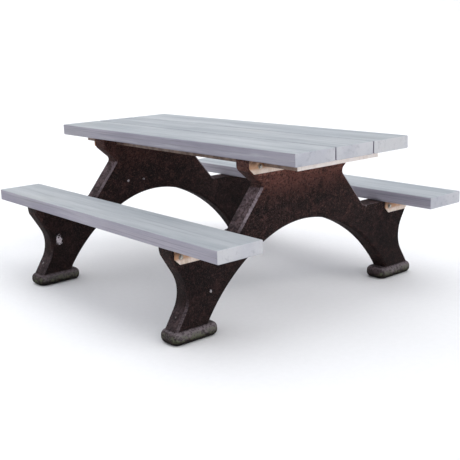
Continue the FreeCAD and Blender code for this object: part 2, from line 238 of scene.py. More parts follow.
# ---------------------------------------------------------------- node helpers
class Shader:
    """A short way to write a node material."""

    def __init__(self, name):
        self.material = bpy.data.materials.new(name)
        self.material.use_nodes = True
        self.tree = self.material.node_tree
        self.tree.nodes.clear()
        self.output = self.tree.nodes.new("ShaderNodeOutputMaterial")
        self.surface = self.tree.nodes.new("ShaderNodeBsdfPrincipled")
        self.tree.links.new(self.surface.outputs["BSDF"], self.output.inputs["Surface"])
        self.place = self.tree.nodes.new("ShaderNodeTexCoord").outputs["Object"]

    def put(self, socket, value):
        if isinstance(value, bpy.types.NodeSocket):
            self.tree.links.new(value, socket)
        else:
            socket.default_value = value

    def stretch(self, scale, shift=(0, 0, 0)):
        """Object coordinates scaled and shifted."""
        made = self.tree.nodes.new("ShaderNodeMapping")
        self.put(made.inputs["Vector"], self.place)
        made.inputs["Scale"].default_value = scale
        made.inputs["Location"].default_value = shift
        return made.outputs["Vector"]

    def noise(self, vector, scale=1.0, detail=4.0, rough=0.55, twist=0.0):
        made = self.tree.nodes.new("ShaderNodeTexNoise")
        self.put(made.inputs["Vector"], vector)
        made.inputs["Scale"].default_value = scale
        made.inputs["Detail"].default_value = detail
        made.inputs["Roughness"].default_value = rough
        made.inputs["Distortion"].default_value = twist
        return made.outputs["Fac"]

    def cells(self, vector, scale, feature="F1"):
        made = self.tree.nodes.new("ShaderNodeTexVoronoi")
        made.feature = feature
        self.put(made.inputs["Vector"], vector)
        made.inputs["Scale"].default_value = scale
        return made.outputs["Distance"], made.outputs["Color"]

    def math(self, operation, a, b=0.0, clamp=False):
        made = self.tree.nodes.new("ShaderNodeMath")
        made.operation = operation
        made.use_clamp = clamp
        self.put(made.inputs[0], a)
        self.put(made.inputs[1], b)
        return made.outputs[0]

    def window(self, value, low, high, out_low=0.0, out_high=1.0):
        """Maps low..high to out_low..out_high with a smooth, clamped step."""
        made = self.tree.nodes.new("ShaderNodeMapRange")
        made.interpolation_type = "SMOOTHSTEP"
        self.put(made.inputs["Value"], value)
        made.inputs["From Min"].default_value = low
        made.inputs["From Max"].default_value = high
        made.inputs["To Min"].default_value = out_low
        made.inputs["To Max"].default_value = out_high
        return made.outputs["Result"]

    def blend(self, share, a, b, kind="MIX"):
        """Mixes two colours by a share."""
        made = self.tree.nodes.new("ShaderNodeMix")
        made.data_type = "RGBA"
        made.blend_type = kind
        self.put(made.inputs["Factor"], share)
        self.put(made.inputs["A"], a)
        self.put(made.inputs["B"], b)
        return made.outputs["Result"]

    def part(self, vector, axis):
        made = self.tree.nodes.new("ShaderNodeSeparateXYZ")
        self.put(made.inputs[0], vector)
        return made.outputs[axis]

    def normal(self):
        return self.tree.nodes.new("ShaderNodeNewGeometry").outputs["Normal"]

    def rim(self, radius):
        """High within a radius of a sharp edge."""
        rounded = self.tree.nodes.new("ShaderNodeBevel")
        rounded.samples = 4
        rounded.inputs["Radius"].default_value = radius
        facing = self.tree.nodes.new("ShaderNodeVectorMath")
        facing.operation = "DOT_PRODUCT"
        self.put(facing.inputs[0], rounded.outputs["Normal"])
        self.put(facing.inputs[1], self.normal())
        return self.window(facing.outputs["Value"], 0.985, 0.86)

    def spot(self, across, centre, radii, ragged):
        """A ragged patch about a centre; across names the axes it is measured along."""
        total = self.window(ragged, 0.36, 0.64, 0.0, 1.5)
        for axis, middle, radius in zip(across, centre, radii):
            away = self.math("DIVIDE", self.math("SUBTRACT", self.part(self.place, axis), middle), radius)
            total = self.math("ADD", total, self.math("MULTIPLY", away, away))
        return self.window(total, 1.70, 1.10)

    def bump(self, height, strength, distance, over=None):
        made = self.tree.nodes.new("ShaderNodeBump")
        made.inputs["Strength"].default_value = strength
        made.inputs["Distance"].default_value = distance
        self.put(made.inputs["Height"], height)
        if over is not None:
            self.put(made.inputs["Normal"], over)
        return made.outputs["Normal"]

    def finish(self, color, roughness, normal, metallic=0.0, specular=0.5):
        self.put(self.surface.inputs["Base Color"], color)
        self.put(self.surface.inputs["Roughness"], roughness)
        self.put(self.surface.inputs["Normal"], normal)
        self.surface.inputs["Metallic"].default_value = metallic
        self.surface.inputs["Specular IOR Level"].default_value = specular
        return self.material


def rgb(red, green, blue):
    """A linear colour from display values of 0 to 255."""
    def linear(value):
        share = value / 255
        return share / 12.92 if share <= 0.04045 else ((share + 0.055) / 1.055) ** 2.4
    return (linear(red), linear(green), linear(blue), 1.0)


# ---------------------------------------------------------------- materials
def plank_material(name, shift, tone, side_shade_tone):
    """Weathered grey plastic lumber: lengthwise streaks, fine grain, paler worn edges, with painted shade on
    the sides and painted light on the ends.
    """
    s = Shader(name)
    broad = s.noise(s.stretch((0.9, 9, 9), shift), detail=5, rough=0.6, twist=0.4)
    streaks = s.noise(s.stretch((2.4, 48, 48), shift), detail=7, rough=0.62)
    grain = s.noise(s.stretch((9, 420, 420), shift), detail=5, rough=0.6)
    patches = s.noise(s.stretch((2.2, 3.5, 3.5), shift), detail=3, rough=0.5)
    dust = s.noise(s.stretch((1, 1, 1), shift), scale=900, detail=2)

    # top and side are lit and shaded copies of one plank colour: the side colour is painted shade, darker and
    # more lavender than the top.
    top = s.blend(s.window(broad, 0.33, 0.67), rgb(*[tone * v for v in (146, 152, 158)]),
                  rgb(*[tone * v for v in (169, 173, 177)]))
    side = s.blend(s.window(broad, 0.33, 0.67), rgb(*[side_shade_tone * v for v in (131, 128, 141)]),
                   rgb(*[side_shade_tone * v for v in (154, 151, 161)]))
    facing_up = s.window(s.part(s.normal(), "Z"), 0.35, 0.9)
    color = s.blend(facing_up, side, top)
    lines = s.noise(s.stretch((1.3, 60, 150), shift), detail=6, rough=0.6)
    sawn = s.math("MULTIPLY", s.window(lines, 0.50, 0.66), s.window(facing_up, 0.5, 0.1, 0.0, 0.45))
    color = s.blend(sawn, color, rgb(102, 92, 100))
    # The end faces get a paler colour of their own as painted light.
    end = s.window(s.math("ABSOLUTE", s.part(s.normal(), "X")), 0.6, 0.95)
    end_light_color = s.blend(s.window(patches, 0.35, 0.65), rgb(171, 172, 180), rgb(193, 193, 196))
    color = s.blend(end, color, end_light_color)
    color = s.blend(s.window(streaks, 0.52, 0.72, 0.0, 0.34), color, rgb(118, 122, 133))
    color = s.blend(s.window(streaks, 0.45, 0.28, 0.0, 0.30), color, rgb(188, 193, 197))
    color = s.blend(s.window(grain, 0.55, 0.75, 0.0, 0.32), color, rgb(106, 108, 122))
    color = s.blend(s.window(patches, 0.55, 0.75, 0.0, 0.22), color, rgb(162, 163, 158))
    color = s.blend(s.window(dust, 0.66, 0.74, 0.0, 0.35), color, rgb(110, 108, 112))
    worn = s.math("MULTIPLY", s.rim(0.004), s.window(streaks, 0.3, 0.6, 0.25, 0.75))
    color = s.blend(worn, color, rgb(196, 201, 207))

    roughness = s.window(streaks, 0.3, 0.7, 0.52, 0.70)
    normal = s.bump(streaks, 0.35, 0.0012)
    normal = s.bump(grain, 0.30, 0.0005, over=normal)
    return s.finish(color, roughness, normal, specular=0.45)


def frame_material(name, side, shift, wear, marks):
    """Dark moulded recycled plastic: mottled, with reddish and pale flecks, dust with a painted sky sheen on
    upward slopes, a painted highlight on upward chamfers and scuffed feet.
    side is the way the outer face looks along X, where the reddish colour laid high up is strongest;
    wear scales the scuffs, the worn edges and the painted chamfer highlight; marks are pale patches, each
    (face, axes, centre, radii, strength)."""
    s = Shader(name)
    height = s.part(s.place, "Z")
    mottle = s.noise(s.stretch((1, 1, 1), shift), scale=9, detail=7, rough=0.66, twist=0.6)
    blotch = s.noise(s.stretch((1, 1, 1), shift), scale=26, detail=6, rough=0.62, twist=0.5)
    fine = s.noise(s.stretch((1, 1, 1), shift), scale=95, detail=6, rough=0.68)
    grit = s.noise(s.stretch((1, 1, 1), shift), scale=420, detail=3, rough=0.6)
    flow = s.noise(s.stretch((3, 12, 60), shift), detail=5, rough=0.6, twist=0.7)
    sideways = s.math("ABSOLUTE", s.part(s.normal(), "X"))
    upward = s.part(s.normal(), "Z")

    color = s.blend(s.window(mottle, 0.36, 0.66), rgb(14, 8, 9), rgb(31, 18, 18))
    color = s.blend(s.window(blotch, 0.50, 0.64, 0.0, 0.85), color, rgb(53, 33, 31))
    color = s.blend(s.window(blotch, 0.45, 0.34, 0.0, 0.8), color, rgb(8, 6, 7))
    # A lighter reddish colour laid high up, strongest on the outer face, with streaks through it.
    high = s.math("MULTIPLY", s.window(height, 0.48, 0.66), s.window(mottle, 0.30, 0.56, 0.40, 1.0))
    outward = s.window(s.math("MULTIPLY", s.part(s.normal(), "X"), side), 0.5, 0.9, 0.25, 1.0)
    high = s.math("MULTIPLY", high, outward)
    color = s.blend(high, color, rgb(106, 66, 58))
    streaked = s.math("MULTIPLY", s.window(height, 0.53, 0.70), s.window(flow, 0.48, 0.64, 0.0, 0.75))
    streaked = s.math("MULTIPLY", streaked, outward)
    color = s.blend(streaked, color, rgb(150, 100, 88))

    distance, flake = s.cells(s.stretch((1, 1, 1), shift), 150)
    brown = s.math("MULTIPLY", s.window(s.part(flake, "X"), 0.60, 0.98), s.window(blotch, 0.40, 0.62))
    color = s.blend(s.math("MULTIPLY", brown, 0.6), color, rgb(76, 52, 49))
    black = s.window(s.part(flake, "Y"), 0.62, 0.80)
    color = s.blend(s.math("MULTIPLY", black, 0.6), color, rgb(8, 6, 7))
    color = s.blend(s.window(fine, 0.54, 0.65, 0.0, 0.7), color, rgb(86, 60, 56))
    color = s.blend(s.window(grit, 0.57, 0.66, 0.0, 0.55), color, rgb(122, 100, 94))

    distance, cell = s.cells(s.stretch((1, 1, 1), shift), 64)
    chosen = s.window(s.part(cell, "X"), 0.92, 0.95)
    fleck = s.math("MULTIPLY", chosen, s.window(distance, 0.20, 0.10))
    color = s.blend(s.math("MULTIPLY", fleck, 0.55), color, rgb(146, 130, 126))

    color = s.blend(s.window(height, 0.48, 0.26, 0.0, 0.5), color, rgb(16, 10, 11))

    # Dust together with a painted sky sheen: upward-sloping faces high on the frame are made paler, flat tops
    # less so.
    dust_and_sheen = s.math("MULTIPLY", s.window(upward, 0.25, 0.62), s.window(height, 0.38, 0.58, 0.35, 1.0))
    dust_and_sheen = s.math("MULTIPLY", dust_and_sheen, s.window(upward, 0.97, 0.85, 0.3, 1.0))
    settled = s.math("MULTIPLY", s.window(fine, 0.36, 0.62, 0.15, 1.0),
                     s.window(blotch, 0.36, 0.60, 0.35, 1.0))
    color = s.blend(s.math("MULTIPLY", dust_and_sheen, settled), color, rgb(112, 98, 103))
    # Painted highlight: a pale, patchy line on the upward-facing chamfers of the upper frame, scaled by wear.
    chamfer_highlight = s.math("MULTIPLY", s.window(sideways, 0.45, 0.60), s.window(sideways, 0.90, 0.80))
    chamfer_highlight = s.math("MULTIPLY", chamfer_highlight, s.window(upward, 0.05, 0.35))
    chamfer_highlight = s.math("MULTIPLY", chamfer_highlight, s.window(height, 0.41, 0.47, 0.25, 1.0))
    chamfer_highlight = s.math("MULTIPLY", chamfer_highlight, s.window(fine, 0.36, 0.58, 0.25, 0.8 * wear))
    color = s.blend(chamfer_highlight, color, rgb(152, 140, 146))
    worn = s.math("MULTIPLY", s.rim(0.005), s.window(fine, 0.42, 0.62, 0.0, 0.5 * wear))
    color = s.blend(worn, color, rgb(120, 104, 106))

    foot = s.window(height, 0.060, 0.052)
    scuffed = s.math("MULTIPLY", foot, s.window(fine, 0.38, 0.58, 0.25, 0.95 * wear))
    scuffed = s.math("MULTIPLY", scuffed, s.window(height, 0.016, 0.036))
    endways = s.math("ABSOLUTE", s.part(s.normal(), "Y"))
    scuffed = s.math("MULTIPLY", scuffed, s.window(endways, 0.70, 0.35, 0.25, 1.0))
    color = s.blend(scuffed, color, rgb(120, 111, 115))
    moss = s.math("MULTIPLY", s.window(height, 0.052, 0.036), s.window(mottle, 0.43, 0.51))
    moss = s.math("MULTIPLY", moss, s.window(fine, 0.45, 0.56))
    color = s.blend(s.math("MULTIPLY", moss, 0.7), color, rgb(88, 94, 72))
    soil = s.math("MULTIPLY", s.window(height, 0.026, 0.010), s.window(fine, 0.30, 0.60, 0.7, 1.0))
    color = s.blend(soil, color, rgb(20, 16, 15))

    for face, axes, centre, radii, strength in marks:
        axis, sign = face
        shown = s.window(s.math("MULTIPLY", s.part(s.normal(), axis), sign), 0.4, 0.7)
        patch = s.math("MULTIPLY", shown, s.spot(axes, centre, radii, fine))
        color = s.blend(s.math("MULTIPLY", patch, strength), color, rgb(204, 196, 200))

    roughness = s.window(fine, 0.3, 0.7, 0.60, 0.85)
    normal = s.bump(blotch, 0.30, 0.0012)
    normal = s.bump(fine, 0.35, 0.0008, over=normal)
    normal = s.bump(grit, 0.25, 0.0003, over=normal)
    return s.finish(color, roughness, normal, specular=0.10)


def paint_material(name, pale, deep, shift, grime, shade_below=()):
    """Cream paint on steel: uneven, stained by run-off, with painted shade just under the planks, rust at
    worn edges.
    shade_below lists the plank undersides that painted shade is laid under."""
    s = Shader(name)
    height = s.part(s.place, "Z")
    cloudy = s.noise(s.stretch((1, 1, 1), shift), scale=26, detail=5, rough=0.6)
    runs = s.noise(s.stretch((60, 60, 7), shift), detail=5, rough=0.6)
    specks = s.noise(s.stretch((1, 1, 1), shift), scale=330, detail=3)
    peel = s.noise(s.stretch((1, 1, 1), shift), scale=900, detail=2)
    color = s.blend(s.window(cloudy, 0.35, 0.68), pale, deep)
    color = s.blend(s.window(runs, 0.54, 0.74, 0.0, 0.5 * grime), color, rgb(166, 128, 100))
    color = s.blend(s.window(specks, 0.62, 0.70, 0.0, 0.6 * grime), color, rgb(120, 84, 60))
    # Painted shade under each underside: the upper web turns tan, and a painted shadow darkens the band just
    # below the plank; the lowest strip stays pale.
    for level in shade_below:
        below = s.window(height, level + 0.010, level)
        shaded_web = s.math("MULTIPLY", s.window(height, level - 0.052, level - 0.036), below)
        shaded_web = s.math("MULTIPLY", shaded_web, s.window(cloudy, 0.30, 0.52, 0.65, 1.0))
        color = s.blend(shaded_web, color, rgb(184, 138, 102))
        dark = s.math("MULTIPLY", s.window(height, level - 0.036, level - 0.010), below)
        dark = s.math("MULTIPLY", dark, s.window(cloudy, 0.34, 0.54, 0.35, 0.95))
        color = s.blend(dark, color, rgb(92, 62, 46))
    rust = s.math("MULTIPLY", s.rim(0.0025), s.window(cloudy, 0.50, 0.62))
    color = s.blend(s.math("MULTIPLY", rust, 0.6 * grime), color, rgb(122, 72, 46))
    roughness = s.window(cloudy, 0.3, 0.7, 0.36, 0.55)
    normal = s.bump(peel, 0.18, 0.0002)
    normal = s.bump(cloudy, 0.15, 0.0008, over=normal)
    return s.finish(color, roughness, normal, specular=0.4)


def steel_material(name, shift):
    """Dull zinc-plated steel with dark tarnish and a little rust."""
    s = Shader(name)
    cloudy = s.noise(s.stretch((1, 1, 1), shift), scale=120, detail=5, rough=0.6)
    fine = s.noise(s.stretch((1, 1, 1), shift), scale=900, detail=3)
    color = s.blend(s.window(cloudy, 0.35, 0.65), rgb(196, 192, 184), rgb(140, 134, 126))
    color = s.blend(s.window(cloudy, 0.60, 0.72, 0.0, 0.7), color, rgb(118, 82, 58))
    color = s.blend(s.window(fine, 0.58, 0.70, 0.0, 0.4), color, rgb(90, 84, 78))
    roughness = s.window(cloudy, 0.3, 0.7, 0.30, 0.55)
    normal = s.bump(fine, 0.2, 0.0001)
    return s.finish(color, roughness, normal, metallic=0.85)


# ---------------------------------------------------------------- planks
def rounded_section(low, high, radius, long_steps, short_steps):
    """Points around a rounded rectangle in the plane across the table, as (y, z)."""
    corner_steps = 5
    points = []
    corners = (
        (high[0] - radius, low[1] + radius, -90),
        (high[0] - radius, high[1] - radius, 0),
        (low[0] + radius, high[1] - radius, 90),
        (low[0] + radius, low[1] + radius, 180),
    )
    straight_steps = (short_steps, long_steps, short_steps, long_steps)
    for (y, z, start), steps, following in zip(corners, straight_steps, corners[1:] + corners[:1]):
        arc = []
        for i in range(corner_steps + 1):
            angle = math.radians(start + 90 * i / corner_steps)
            arc.append(Vector((y + radius * math.cos(angle), z + radius * math.sin(angle))))
        points += arc
        start_next = math.radians(following[2])
        target = Vector((following[0] + radius * math.cos(start_next),
                         following[1] + radius * math.sin(start_next)))
        for i in range(1, steps):
            points.append(arc[-1].lerp(target, i / steps))
    return points


def plank_stations(low_x, high_x):
    """Distances along a plank with the inset of the section at each, for rounded ends."""
    inset = PLANK_END_RADIUS
    rounding = []
    for i in range(4):
        angle = math.radians(90 * i / 3)
        rounding.append((inset * (1 - math.sin(angle)), inset * (1 - math.cos(angle))))
    count = round((high_x - low_x) / PLANK_STATION)
    stations = [(low_x + along, shrink) for shrink, along in rounding]
    first = low_x + 2 * inset
    last = high_x - 2 * inset
    stations += [(first + (last - first) * i / count, 0.0) for i in range(count + 1)]
    stations += [(high_x - along, shrink) for shrink, along in reversed(rounding)]
    return stations


def plank(node, material, seed):
    """One plank with rounded edges whose faces wander slightly, always inside the box."""
    low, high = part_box(node)
    centre = (low + high) / 2
    rings = []
    for x, shrink in plank_stations(low.x, high.x):
        section = rounded_section((low.y + shrink, low.z + shrink), (high.y - shrink, high.z - shrink),
                                  PLANK_RADIUS - shrink * 0.4, 14, 4)
        ring = []
        for y, z in section:
            at = Vector((x * 2.2, y * 9 + seed, z * 9))
            dip = PLANK_WAVE * (0.5 + 0.5 * noise.noise(at))
            away = Vector((0, y - centre.y, z - centre.z))
            away.y = math.copysign(min(1, abs(away.y) / 0.1135) ** 12, away.y)
            away.z = math.copysign(min(1, abs(away.z) / 0.028) ** 12, away.z)
            ring.append(Vector((x, y, z)) - away * dip)
        rings.append(ring)
    bm = bmesh.new()
    loft(bm, rings)
    return place(mesh_object(node + "_board", bm), material, "plank_plastic", node)


# ---------------------------------------------------------------- end frames
def corner_arc(before, corner, after, radius, step=math.radians(7)):
    """Points on the arc that rounds a corner."""
    back = (before - corner).normalized()
    ahead = (after - corner).normalized()
    half = back.angle(ahead) / 2
    centre = corner + (back + ahead).normalized() * (radius / math.sin(half))
    reach = radius / math.tan(half)
    start = corner + back * reach - centre
    end = corner + ahead * reach - centre
    turn = start.angle_signed(end)
    count = max(3, math.ceil(abs(turn) / step))
    return [centre + Matrix.Rotation(-turn * i / count, 2) @ start for i in range(count + 1)]


def frame_half():
    """The +Y half of the outline from the crown of the arch up to the flange's middle.
    Each point is (place, chamfer before it, chamfer after it)."""
    points = []
    crown_z = ARCH_TOP_Z - ARCH_CROWN_RADIUS
    offset = ARCH_CROWN_RADIUS - ARCH_SIDE_RADIUS
    side_y = offset * math.sin(ARCH_CROWN_HALF_ANGLE)
    side_z = crown_z + offset * math.cos(ARCH_CROWN_HALF_ANGLE)
    base_angle = math.acos((LEG_BASE_Z - side_z) / ARCH_SIDE_RADIUS)
    crown_steps = 10
    side_steps = 16
    for i in range(crown_steps):
        angle = ARCH_CROWN_HALF_ANGLE * i / crown_steps
        at = Vector((ARCH_CROWN_RADIUS * math.sin(angle), crown_z + ARCH_CROWN_RADIUS * math.cos(angle)))
        points.append((at, FRAME_CHAMFER, FRAME_CHAMFER))
    for i in range(side_steps + 1):
        angle = ARCH_CROWN_HALF_ANGLE + (base_angle - ARCH_CROWN_HALF_ANGLE) * i / side_steps
        at = Vector((side_y + ARCH_SIDE_RADIUS * math.sin(angle),
                     side_z + ARCH_SIDE_RADIUS * math.cos(angle)))
        points.append((at, FRAME_CHAMFER, FRAME_CHAMFER if i < side_steps else FRAME_EDGE))

    toe = Vector((LEG_TOE_Y, LEG_BASE_Z))
    waist = Vector(LEG_WAIST[:2])
    tip_low = Vector((ARM_TIP_Y, SEAT_UNDERSIDE - ARM_TIP_HEIGHT))
    tip_high = Vector((ARM_TIP_Y, SEAT_UNDERSIDE))
    root = Vector((ARM_ROOT_Y, SEAT_UNDERSIDE))
    neck = Vector(NECK[:2])
    flange_low = Vector((FLANGE_HALF_WIDTH, TOP_UNDERSIDE - FLANGE_SIDE_HEIGHT))
    flange_high = Vector((FLANGE_HALF_WIDTH, TOP_UNDERSIDE))
    tip_run_out = Vector((0, 0.026))
    flange_run_out = Vector((0, 0.020))

    points.append((toe, FRAME_EDGE, FRAME_CHAMFER))
    points += [(at, FRAME_CHAMFER, FRAME_CHAMFER) for at in corner_arc(toe, waist, tip_low, LEG_WAIST[2])]
    points.append((tip_low, FRAME_CHAMFER, FRAME_EDGE))
    points.append((tip_low + tip_run_out, FRAME_EDGE, FRAME_EDGE))
    points.append((tip_high, FRAME_EDGE, FRAME_EDGE))
    root_arc = corner_arc(tip_high, root, neck, ARM_ROOT_RADIUS)
    for i, at in enumerate(root_arc):
        width = FRAME_EDGE + (FRAME_CHAMFER - FRAME_EDGE) * i / (len(root_arc) - 1)
        points.append((at, width, width))
    points += [(at, FRAME_CHAMFER, FRAME_CHAMFER) for at in corner_arc(root, neck, flange_low, NECK[2])]
    points.append((flange_low, FRAME_CHAMFER, FRAME_EDGE))
    points.append((flange_low + flange_run_out, FRAME_EDGE, FRAME_EDGE))
    points.append((flange_high, FRAME_EDGE, FRAME_EDGE))
    inner_y, outer_y = RAIL_NOTCH_Y
    notch_z = TOP_UNDERSIDE - RAIL_NOTCH_DEPTH
    for at in ((outer_y, TOP_UNDERSIDE), (outer_y, notch_z), (inner_y, notch_z), (inner_y, TOP_UNDERSIDE)):
        points.append((Vector(at), FRAME_EDGE, FRAME_EDGE))
    return points


def frame_outline():
    """The whole outline, counter-clockwise with +Y to the right, with its inward steps."""
    half = frame_half()
    mirrored = [(Vector((-at.x, at.y)), after, before) for at, before, after in reversed(half[1:])]
    outline = half + mirrored
    count = len(outline)
    steps = []
    for i in range(count):
        at, before, after = outline[i]
        arriving = (at - outline[i - 1][0]).normalized()
        leaving = (outline[(i + 1) % count][0] - at).normalized()
        first = Vector((-arriving.y, arriving.x))
        second = Vector((-leaving.y, leaving.x))
        turn = first.x * second.y - first.y * second.x
        if abs(turn) > 0.3:
            inward = Vector((before * second.y - after * first.y, after * first.x - before * second.x)) / turn
        else:
            inward = (first + second) * (before / (1 + first.dot(second)))
        steps.append((at, inward, max(before, after)))
    return steps


# The rim's section, from the face to the edge: (share of the inward step, depth in chamfer widths).
CHAMFER_PROFILE = (
    (1.18, 0.0), (1.08, 0.0), (1.0, 0.025), (0.92, 0.08),
    (0.08, 0.92), (0.025, 1.0), (0.0, 1.10),
)


def frame_slab(outer_x, inner_x):
    """The end frame's body: its outline across the table with chamfered rims."""
    outline = frame_outline()
    side = math.copysign(1, outer_x - inner_x)
    rings = []
    for share, depth in CHAMFER_PROFILE:
        rings.append([Vector((outer_x - side * width * depth, *(at + inward * share)))
                      for at, inward, width in outline])
    for share, depth in reversed(CHAMFER_PROFILE):
        rings.append([Vector((inner_x + side * width * depth, *(at + inward * share)))
                      for at, inward, width in outline])
    bm = bmesh.new()
    loft(bm, rings)
    bmesh.ops.recalc_face_normals(bm, faces=bm.faces)
    return mesh_object("slab", bm)


def foot_ring(low, high, inset, z):
    """A rounded rectangle at one height."""
    radius = FOOT_CORNER - inset
    corners = (
        (high.x - inset - radius, high.y - inset - radius, 0),
        (low.x + inset + radius, high.y - inset - radius, 90),
        (low.x + inset + radius, low.y + inset + radius, 180),
        (high.x - inset - radius, low.y + inset + radius, 270),
    )
    ring = []
    corner_steps = 8
    straight_steps = 10
    for index, (x, y, start) in enumerate(corners):
        arc = []
        for i in range(corner_steps + 1):
            angle = math.radians(start + 90 * i / corner_steps)
            arc.append(Vector((x + radius * math.cos(angle), y + radius * math.sin(angle), z)))
        ring += arc
        next_x, next_y, next_start = corners[(index + 1) % 4]
        angle = math.radians(next_start)
        target = Vector((next_x + radius * math.cos(angle), next_y + radius * math.sin(angle), z))
        ring += [arc[-1].lerp(target, i / straight_steps) for i in range(1, straight_steps)]
    return ring


def foot(low, high, seed):
    """The rounded bar that a leg stands on, worn a little uneven round its sides."""
    levels = []
    roll_steps = 7
    for i in range(roll_steps + 1):
        angle = math.radians(90 * i / roll_steps)
        levels.append((FOOT_ROLL * (1 - math.sin(angle)), FOOT_ROLL * (1 - math.cos(angle))))
    rings = [(inset, low.z + rise) for inset, rise in levels]
    rings += [(inset, high.z - rise) for inset, rise in reversed(levels)]
    centre = (low + high) / 2
    bm = bmesh.new()
    shape = []
    for inset, z in rings:
        ring = []
        for point in foot_ring(low, high, inset, z):
            wear = 0.0012 * (0.5 + 0.5 * noise.noise(point * 28 + Vector((seed, 0, 0))))
            if low.z < z < high.z:
                point = point - (point - centre).normalized() * wear
            ring.append(point)
        shape.append(ring)
    loft(bm, shape)
    return mesh_object("foot", bm)


def end_frame(name, side, material):
    """One moulded end: the slab joined with its two feet."""
    node = "end_frame_" + name
    low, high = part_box(node)
    made = frame_slab(side * FRAME_OUTER_X, side * FRAME_INNER_X)
    made.name = node + "_moulding"
    for seed, (label, way) in enumerate(SIDES):
        outer = way * FOOT_OUTER_Y
        inner = way * (FOOT_OUTER_Y - FOOT_LENGTH)
        foot_from = Vector((low.x, min(inner, outer), 0))
        foot_to = Vector((high.x, max(inner, outer), FOOT_HEIGHT))
        combine(made, foot(foot_from, foot_to, 3.7 * seed + side), "UNION")
    return place(made, material, "frame_plastic", node)


# ---------------------------------------------------------------- angle bars
def angle_section(web, shelf, thickness, bend):
    """Section of a bent angle with its heel at the origin: the web hangs down the first axis,
    the shelf runs out along the second."""
    points = [Vector((web, 0.0)), Vector((web, thickness))]
    steps = 5
    inner = max(bend - thickness, 0.0015)
    for i in range(steps + 1):
        angle = math.radians(90 * i / steps)
        points.append(Vector((thickness + inner - inner * math.sin(angle),
                              thickness + inner - inner * math.cos(angle))))
    points += [Vector((thickness, shelf)), Vector((0.0, shelf))]
    for i in reversed(range(steps + 1)):
        angle = math.radians(90 * i / steps)
        points.append(Vector((bend * (1 - math.sin(angle)), bend * (1 - math.cos(angle)))))
    return points


def rod(centre, axis, radius, length, sides=20):
    """A plain round cutter."""
    bm = bmesh.new()
    lathe(bm, ((0.0, radius), (length, radius)), centre, axis, sides)
    return mesh_object("cutter", bm)


def block(low, high):
    """A plain square cutter."""
    bm = bmesh.new()
    loft(bm, box_corners(low, high))
    return mesh_object("cutter", bm)


def bracket(node, side, lag_places, screw_places, material, notches=()):
    """Bent angle on a frame's outer face, with cut corners, holes and rail notches."""
    low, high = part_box(node)
    web = high.z - low.z
    shelf = high.x - low.x
    section = angle_section(web, shelf, BRACKET_THICKNESS, BRACKET_BEND)
    length = high.y - low.y
    count = max(2, round(length / 0.04))
    rings = []
    for i in range(count + 1):
        y = low.y + length * i / count
        rings.append([Vector((side * (FRAME_OUTER_X + out), y, high.z - down)) for down, out in section])
    bm = bmesh.new()
    loft(bm, rings)
    for y, way in ((low.y, 1), (high.y, -1)):
        on_plane = Vector((0, y + way * BRACKET_CUT, low.z))
        bmesh.ops.bisect_plane(bm, geom=bm.verts[:] + bm.edges[:] + bm.faces[:], plane_co=on_plane,
                               plane_no=Vector((0, -way, -1)).normalized(), clear_outer=True)
        open_edges = [edge for edge in bm.edges if edge.is_boundary]
        bmesh.ops.holes_fill(bm, edges=open_edges)
    made = mesh_object(node + "_angle", bm)
    for y in lag_places:
        start = (side * (FRAME_OUTER_X - 0.01), y, high.z - LAG_DROP)
        combine(made, rod(start, (side, 0, 0), LAG_RADIUS + HOLE_CLEARANCE, 0.03), "DIFFERENCE")
    for y in screw_places:
        start = (side * (FRAME_OUTER_X + SCREW_FROM_FRAME), y, high.z - 0.02)
        combine(made, rod(start, (0, 0, 1), SCREW_RADIUS + HOLE_CLEARANCE, 0.04), "DIFFERENCE")
    for way in notches:
        ys = sorted(way * y for y in RAIL_NOTCH_Y)
        xs = sorted((side * (FRAME_OUTER_X - 0.01), side * (FRAME_OUTER_X + shelf + 0.01)))
        combine(made, block((xs[0], ys[0], high.z - RAIL_NOTCH_DEPTH), (xs[1], ys[1], high.z + 0.01)),
                "DIFFERENCE")
    soften(made, 0.0006)
    return place(made, material, "bracket_paint", node)


def stiffener_rail(name, way, material):
    """Angle bar along the table; its web faces outwards and its shelf meets the planks."""
    node = "stiffener_rail_" + name
    low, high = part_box(node)
    outer_y = way * max(abs(low.y), abs(high.y))
    section = angle_section(STIFFENER_LEG, STIFFENER_LEG, STIFFENER_THICKNESS, STIFFENER_BEND)
    rings = []
    for x in (low.x, high.x):
        rings.append([Vector((x, outer_y - way * out, high.z - down)) for down, out in section])
    bm = bmesh.new()
    loft(bm, rings)
    made = mesh_object(node + "_bar", bm)
    shelf_gap = STIFFENER_LEG - STIFFENER_THICKNESS
    inner_y = way * (abs(outer_y) - STIFFENER_LEG - 0.01)
    near_y = way * (abs(outer_y) - STIFFENER_THICKNESS)
    for end in (-1, 1):
        xs = sorted((end * (high.x + 0.01), end * (high.x - shelf_gap)))
        ys = sorted((inner_y, near_y))
        combine(made, block((xs[0], ys[0], low.z - 0.01), (xs[1], ys[1], high.z + 0.01)), "DIFFERENCE")
    for x in RAIL_SCREW_X:
        start = (x, outer_y - way * STIFFENER_LEG / 2, high.z - 0.02)
        combine(made, rod(start, (0, 0, 1), SCREW_RADIUS + HOLE_CLEARANCE, 0.04), "DIFFERENCE")
    soften(made, 0.0005)
    return place(made, material, "stiffener_paint", node)


